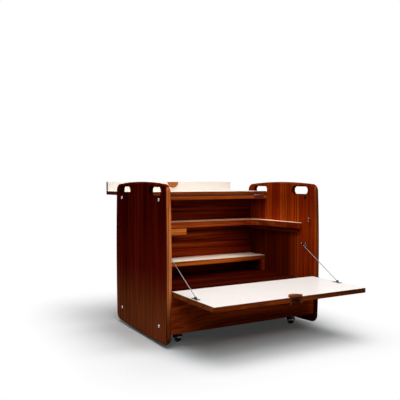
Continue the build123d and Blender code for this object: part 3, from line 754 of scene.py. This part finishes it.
def screw_half(bm, radius, height, side):
    """One half of a slotted head, beside the slot."""
    half_slot = radius * 0.16
    start = math.asin(half_slot / radius)
    angles = [start + (math.pi - 2 * start) * i / half_steps for i in range(half_steps + 1)]
    rings = []
    for share, level in screw_profile:
        ring = []
        for angle in angles:
            x = radius * share * math.cos(angle)
            y = max(half_slot, radius * share * math.sin(angle))
            ring.append(bm.verts.new((x * side, y * side, height * level)))
        rings.append(ring)
    for low, high in zip(rings, rings[1:]):
        for i in range(half_steps):
            bm.faces.new((low[i], low[i + 1], high[i + 1], high[i]))
        bm.faces.new((low[-1], low[0], high[0], high[-1]))
    bm.faces.new(rings[-1])


def screw_head(radius, height):
    """A slotted, slightly domed screw head: two halves on a thin disc, with the slot between them."""
    bm = bmesh.new()
    for side in (-1, 1):
        screw_half(bm, radius, height, side)
    bm.faces.new(circle(bm, radius * 0.97, height * 0.3, disc_steps))
    bmesh.ops.recalc_face_normals(bm, faces=bm.faces)
    return bm


def rivet_head(radius, height):
    """A domed rivet head with a small turned step round its foot."""
    bm = bmesh.new()
    rings = [circle(bm, radius * share, height * level, rivet_steps) for share, level in rivet_profile]
    for low, high in zip(rings, rings[1:]):
        for i in range(rivet_steps):
            j = (i + 1) % rivet_steps
            bm.faces.new((low[i], low[j], high[j], high[i])).smooth = True
    crown = bm.verts.new((0, 0, height))
    for i in range(rivet_steps):
        bm.faces.new((rings[-1][i], rings[-1][(i + 1) % rivet_steps], crown)).smooth = True
    return bm


def screws(name, body, normal, places, size):
    """Numbered slotted screws on one face."""
    for number, place in enumerate(places):
        place_mesh(f"screw_{name}_{number}", screw_head(*size), place, normal, body, "chrome")


def stay_screws(side_name, side):
    """Two screws in the stay's plate on the panel and two in its plate on the flap."""
    eye = joint_place[f"stay_eye_{side_name}_turn"]
    low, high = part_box(f"stay_bracket_{side_name}")
    face = high[X] - stay_plate_thickness if side > 0 else low[X] + stay_plate_thickness
    on_panel = [(face, eye[Y], eye[Z] + s * stay_screw_pitch) for s in (-1, 1)]
    screws(f"stay_plate_{side_name}", "case", (-side, 0, 0), on_panel, plate_screw)
    pin = joint_place[f"stay_rod_{side_name}_turn"]
    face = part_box(f"stay_flap_bracket_{side_name}")[0][Z] + flap_plate_thickness
    on_flap = [(pin[X], pin[Y] + s * flap_screw_pitch, face) for s in (-1, 1)]
    screws(f"flap_plate_{side_name}", "flap", (0, 0, 1), on_flap, plate_screw)


def stop_screws(side_name, side):
    """Two screws in the flap's stop."""
    low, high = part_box(f"flap_stop_{side_name}")
    face = low[X] if side > 0 else high[X]
    middle = (low[Y] + high[Y]) / 2
    pair = [(face, middle, low[Z] + share * (high[Z] - low[Z])) for share in stop_screw_shares]
    screws(f"flap_stop_{side_name}", "case", (-side, 0, 0), pair, stop_screw)


def hinge_row(low, high):
    """Where the three screws of a hinge leaf stand along X."""
    return [(low[X] + high[X]) / 2 + s * hinge_screw_pitch for s in (-1, 0, 1)]


def lid_hinge_screws(side_name):
    """Three screws in each leaf of the lid's hinge."""
    face = joint_place["lid_hinge"][Y] + hinge_leaf_offset
    for kind, body in (("fixed", "case"), ("moving", "lid")):
        low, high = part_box(f"lid_hinge_{kind}_{side_name}")
        level = low[Z] + lid_screw_inset if kind == "fixed" else high[Z] - lid_screw_inset
        row = [(x, face, level) for x in hinge_row(low, high)]
        screws(f"lid_hinge_{kind}_{side_name}", body, (0, -1, 0), row, lid_hinge_screw)


def flap_hinge_screws(side_name):
    """Three screws in the fixed leaf of the flap's hinge."""
    face = joint_place["flap_hinge"][Z] - hinge_leaf_offset
    low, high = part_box(f"flap_hinge_fixed_{side_name}")
    row = [(x, high[Y] - flap_screw_inset, face) for x in hinge_row(low, high)]
    screws(f"flap_hinge_{side_name}", "case", (0, 0, 1), row, flap_hinge_screw)


def back_screws(side_name, side):
    """A column of screws in the back panel."""
    aside = side * (back_high[X] - back_screw_inset)
    levels = [back_low[Z] + back_screw_rise + back_screw_pitch * i for i in range(back_screw_count)]
    column = [(aside, back_high[Y], level) for level in levels]
    screws(f"back_{side_name}", "case", (0, 1, 0), column, back_screw)


def caster_fasteners(corner):
    """Four screws in the caster's plate and a rivet on each end of its axle."""
    stem = joint_place[f"swivel_{corner}"]
    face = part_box(f"caster_plate_{corner}")[1][Z] - caster_plate_thickness
    shifts = [(a * caster_screw_pitch, b * caster_screw_pitch) for a in (-1, 1) for b in (-1, 1)]
    square = [(stem[X] + a, stem[Y] + b, face) for a, b in shifts]
    screws(f"caster_{corner}", "case", (0, 0, -1), square, caster_screw)
    axle = joint_place[f"spin_{corner}"]
    for end_name, end in sides:
        name = f"axle_cap_{corner}_{end_name}"
        place = (axle[X] + end * axle_half_length, axle[Y], axle[Z])
        place_mesh(name, rivet_head(*axle_rivet), place, (end, 0, 0), f"hood_{corner}", "chrome")


for side_name, side in sides:
    stay_screws(side_name, side)
    stop_screws(side_name, side)
    lid_hinge_screws(side_name)
    flap_hinge_screws(side_name)
    back_screws(side_name, side)
    for depth_name in ("front", "rear"):
        caster_fasteners(f"{depth_name}_{side_name}")


# Floor that fades into the white backdrop

floor_half_size = 40.0
floor_cool = (0.71, 0.775, 0.785)
# painted light: a faint glow that lifts the cart's shadow on the floor
floor_glow = 0.035


def seen_directly(tree):
    """1 for rays that show the backdrop: from the camera, in a reflection or through something clear."""
    path = tree.nodes.new("ShaderNodeLightPath").outputs
    shown = calc(tree, "MAXIMUM", path["Is Camera Ray"], path["Is Glossy Ray"])
    return calc(tree, "MAXIMUM", shown, path["Is Transmission Ray"])


def floor_tone(tree, place, x, y):
    """Grey-white, with a cool tint painted under the cart where its shade falls, and painted shade to its
    left.
    """
    cloud = noise(tree, stretched(tree, place, (0.8, 0.8, 0.8)), detail=2.0)
    plain = ramp(tree, cloud, [(0.3, grey(0.79)), (0.7, grey(0.81))])
    under_width = rise(tree, calc(tree, "ABSOLUTE", x), 0.42, 0.6, 1.0, 0.0)
    under_depth = rise(tree, away(tree, y, -0.18), 0.34, 0.58, 1.0, 0.0)
    cooled = mix(tree, "MIX", calc(tree, "MULTIPLY", under_width, under_depth), plain, floor_cool)
    # painted shade on the floor to the cart's left
    left = rise(tree, x, -0.48, -0.6)
    level = rise(tree, calc(tree, "ABSOLUTE", y), 0.4, 0.16)
    return mix(tree, "MULTIPLY", calc(tree, "MULTIPLY", left, level), cooled, grey(0.76))


def floor_reach(tree, x, y):
    """How far a point of the floor lies outside the block under the cart; behind it, half as far."""
    wide = calc(tree, "SUBTRACT", away(tree, x, -0.08), 0.48)
    behind = calc(tree, "MULTIPLY", calc(tree, "SUBTRACT", y, 0.35), 0.5)
    deep = calc(tree, "MAXIMUM", behind, calc(tree, "SUBTRACT", -0.52, y))
    return straight(tree, calc(tree, "MAXIMUM", wide, 0.0), calc(tree, "MAXIMUM", deep, 0.0))


def floor_material(name):
    """Matt floor round the cart, with a faint painted glow that lifts its shadow, fading into white
    further out; it is dark to light that bounces.
    """
    material, tree, shader = new_material(name)
    place = coordinates(tree)
    parts = axes(tree, place)
    x, y = parts[X], parts[Y]
    reach = floor_reach(tree, x, y)
    seen = seen_directly(tree)
    kept = calc(tree, "MULTIPLY", seen, rise(tree, reach, 0.3, 0.8, 1.0, 0.0))
    base = mix(tree, "MIX", kept, grey(0.15), floor_tone(tree, place, x, y))
    put(tree, shader.inputs["Base Color"], base)
    put(tree, shader.inputs["Roughness"], 0.85)
    put(tree, shader.inputs["Specular IOR Level"], 0.05)
    white = tree.nodes.new("ShaderNodeEmission")
    blend = tree.nodes.new("ShaderNodeMixShader")
    whiteness = calc(tree, "MULTIPLY", rise(tree, reach, 0.0, 0.5, floor_glow, 1.0), seen)
    for socket, value in zip(blend.inputs, (whiteness, shader.outputs[0], white.outputs[0])):
        put(tree, socket, value)
    put(tree, tree.nodes["Material Output"].inputs["Surface"], blend.outputs[0])
    return material


floor_mesh = bpy.data.meshes.new("floor")
floor_signs = ((-1, -1), (1, -1), (1, 1), (-1, 1))
floor_corners = [(x * floor_half_size, y * floor_half_size, 0) for x, y in floor_signs]
floor_mesh.from_pydata(floor_corners, [], [(0, 1, 2, 3)])
floor = bpy.data.objects.new("floor", floor_mesh)
floor.data.materials.append(floor_material("floor_white"))
bpy.context.scene.collection.objects.link(floor)


# Room light and backdrop

backdrop_side = (0.49, 0.87)
room_light = 0.035


def studio_world():
    """Dim room light, and a white backdrop that reflections show dimmer towards the open front."""
    world = bpy.data.worlds.new("studio")
    bpy.context.scene.world = world
    world.use_nodes = True
    tree = world.node_tree
    path = tree.nodes.new("ShaderNodeLightPath").outputs
    direction = axes(tree, tree.nodes.new("ShaderNodeTexCoord").outputs["Generated"])
    shares = [calc(tree, "MULTIPLY", direction[axis], backdrop_side[axis]) for axis in (X, Y)]
    backdrop = rise(tree, calc(tree, "ADD", *shares), -0.3, 0.8, 0.55, 1.0)
    clear = calc(tree, "MAXIMUM", path["Is Camera Ray"], path["Is Transmission Ray"])
    shown = calc(tree, "MAXIMUM", clear, calc(tree, "MULTIPLY", path["Is Glossy Ray"], backdrop))
    background = tree.nodes["Background"]
    put(tree, background.inputs["Color"], grey(1.0))
    put(tree, background.inputs["Strength"], calc(tree, "MAXIMUM", shown, room_light))


studio_world()


# Soft rectangular lamps: place, target, size and power in watts

lamps = {
    "key": ((0.3, -3.05, 2.8), (0.0, -0.2, 0.45), (1.8, 1.8), 53),
    "overhead": ((-0.6, -0.6, 3.1), (0.0, -0.2, 0.4), (2.2, 2.2), 78),
    "fill": ((-1.6, -2.6, 1.9), (0.4, 0.0, 0.6), (1.2, 1.2), 9.5),
    "front": ((-0.3, -2.8, 1.8), (0.0, 0.2, 0.45), (1.4, 0.4), 6.5),
    "rear": ((0.4, 3.0, 0.9), (0.0, 0.3, 0.45), (1.6, 1.0), 16),
    "side": ((3.0, 0.3, 0.9), (0.5, 0.0, 0.45), (1.2, 0.8), 7),
}
for name, (place, target, size, power) in lamps.items():
    data = bpy.data.lights.new(name, "AREA")
    data.shape = "RECTANGLE"
    data.size, data.size_y = size
    data.energy = power
    lamp = bpy.data.objects.new(name, data)
    lamp.location = place
    lamp.rotation_euler = (Vector(target) - Vector(place)).to_track_quat("-Z", "Y").to_euler()
    bpy.context.scene.collection.objects.link(lamp)


# Camera, fitted to the photograph

camera_place = (-1.7497, -2.8809, 0.8606)
camera_tilt = -0.0308
camera_turn = -0.5169

camera_data = bpy.data.cameras.new("camera")
camera_data.sensor_width = 36.0
camera_data.lens = 49.6
camera = bpy.data.objects.new("camera", camera_data)
camera.location = camera_place
camera.rotation_euler = (math.pi / 2 + camera_tilt, 0.0, camera_turn)
bpy.context.scene.collection.objects.link(camera)
bpy.context.scene.camera = camera

bpy.context.scene.view_settings.view_transform = "Standard"
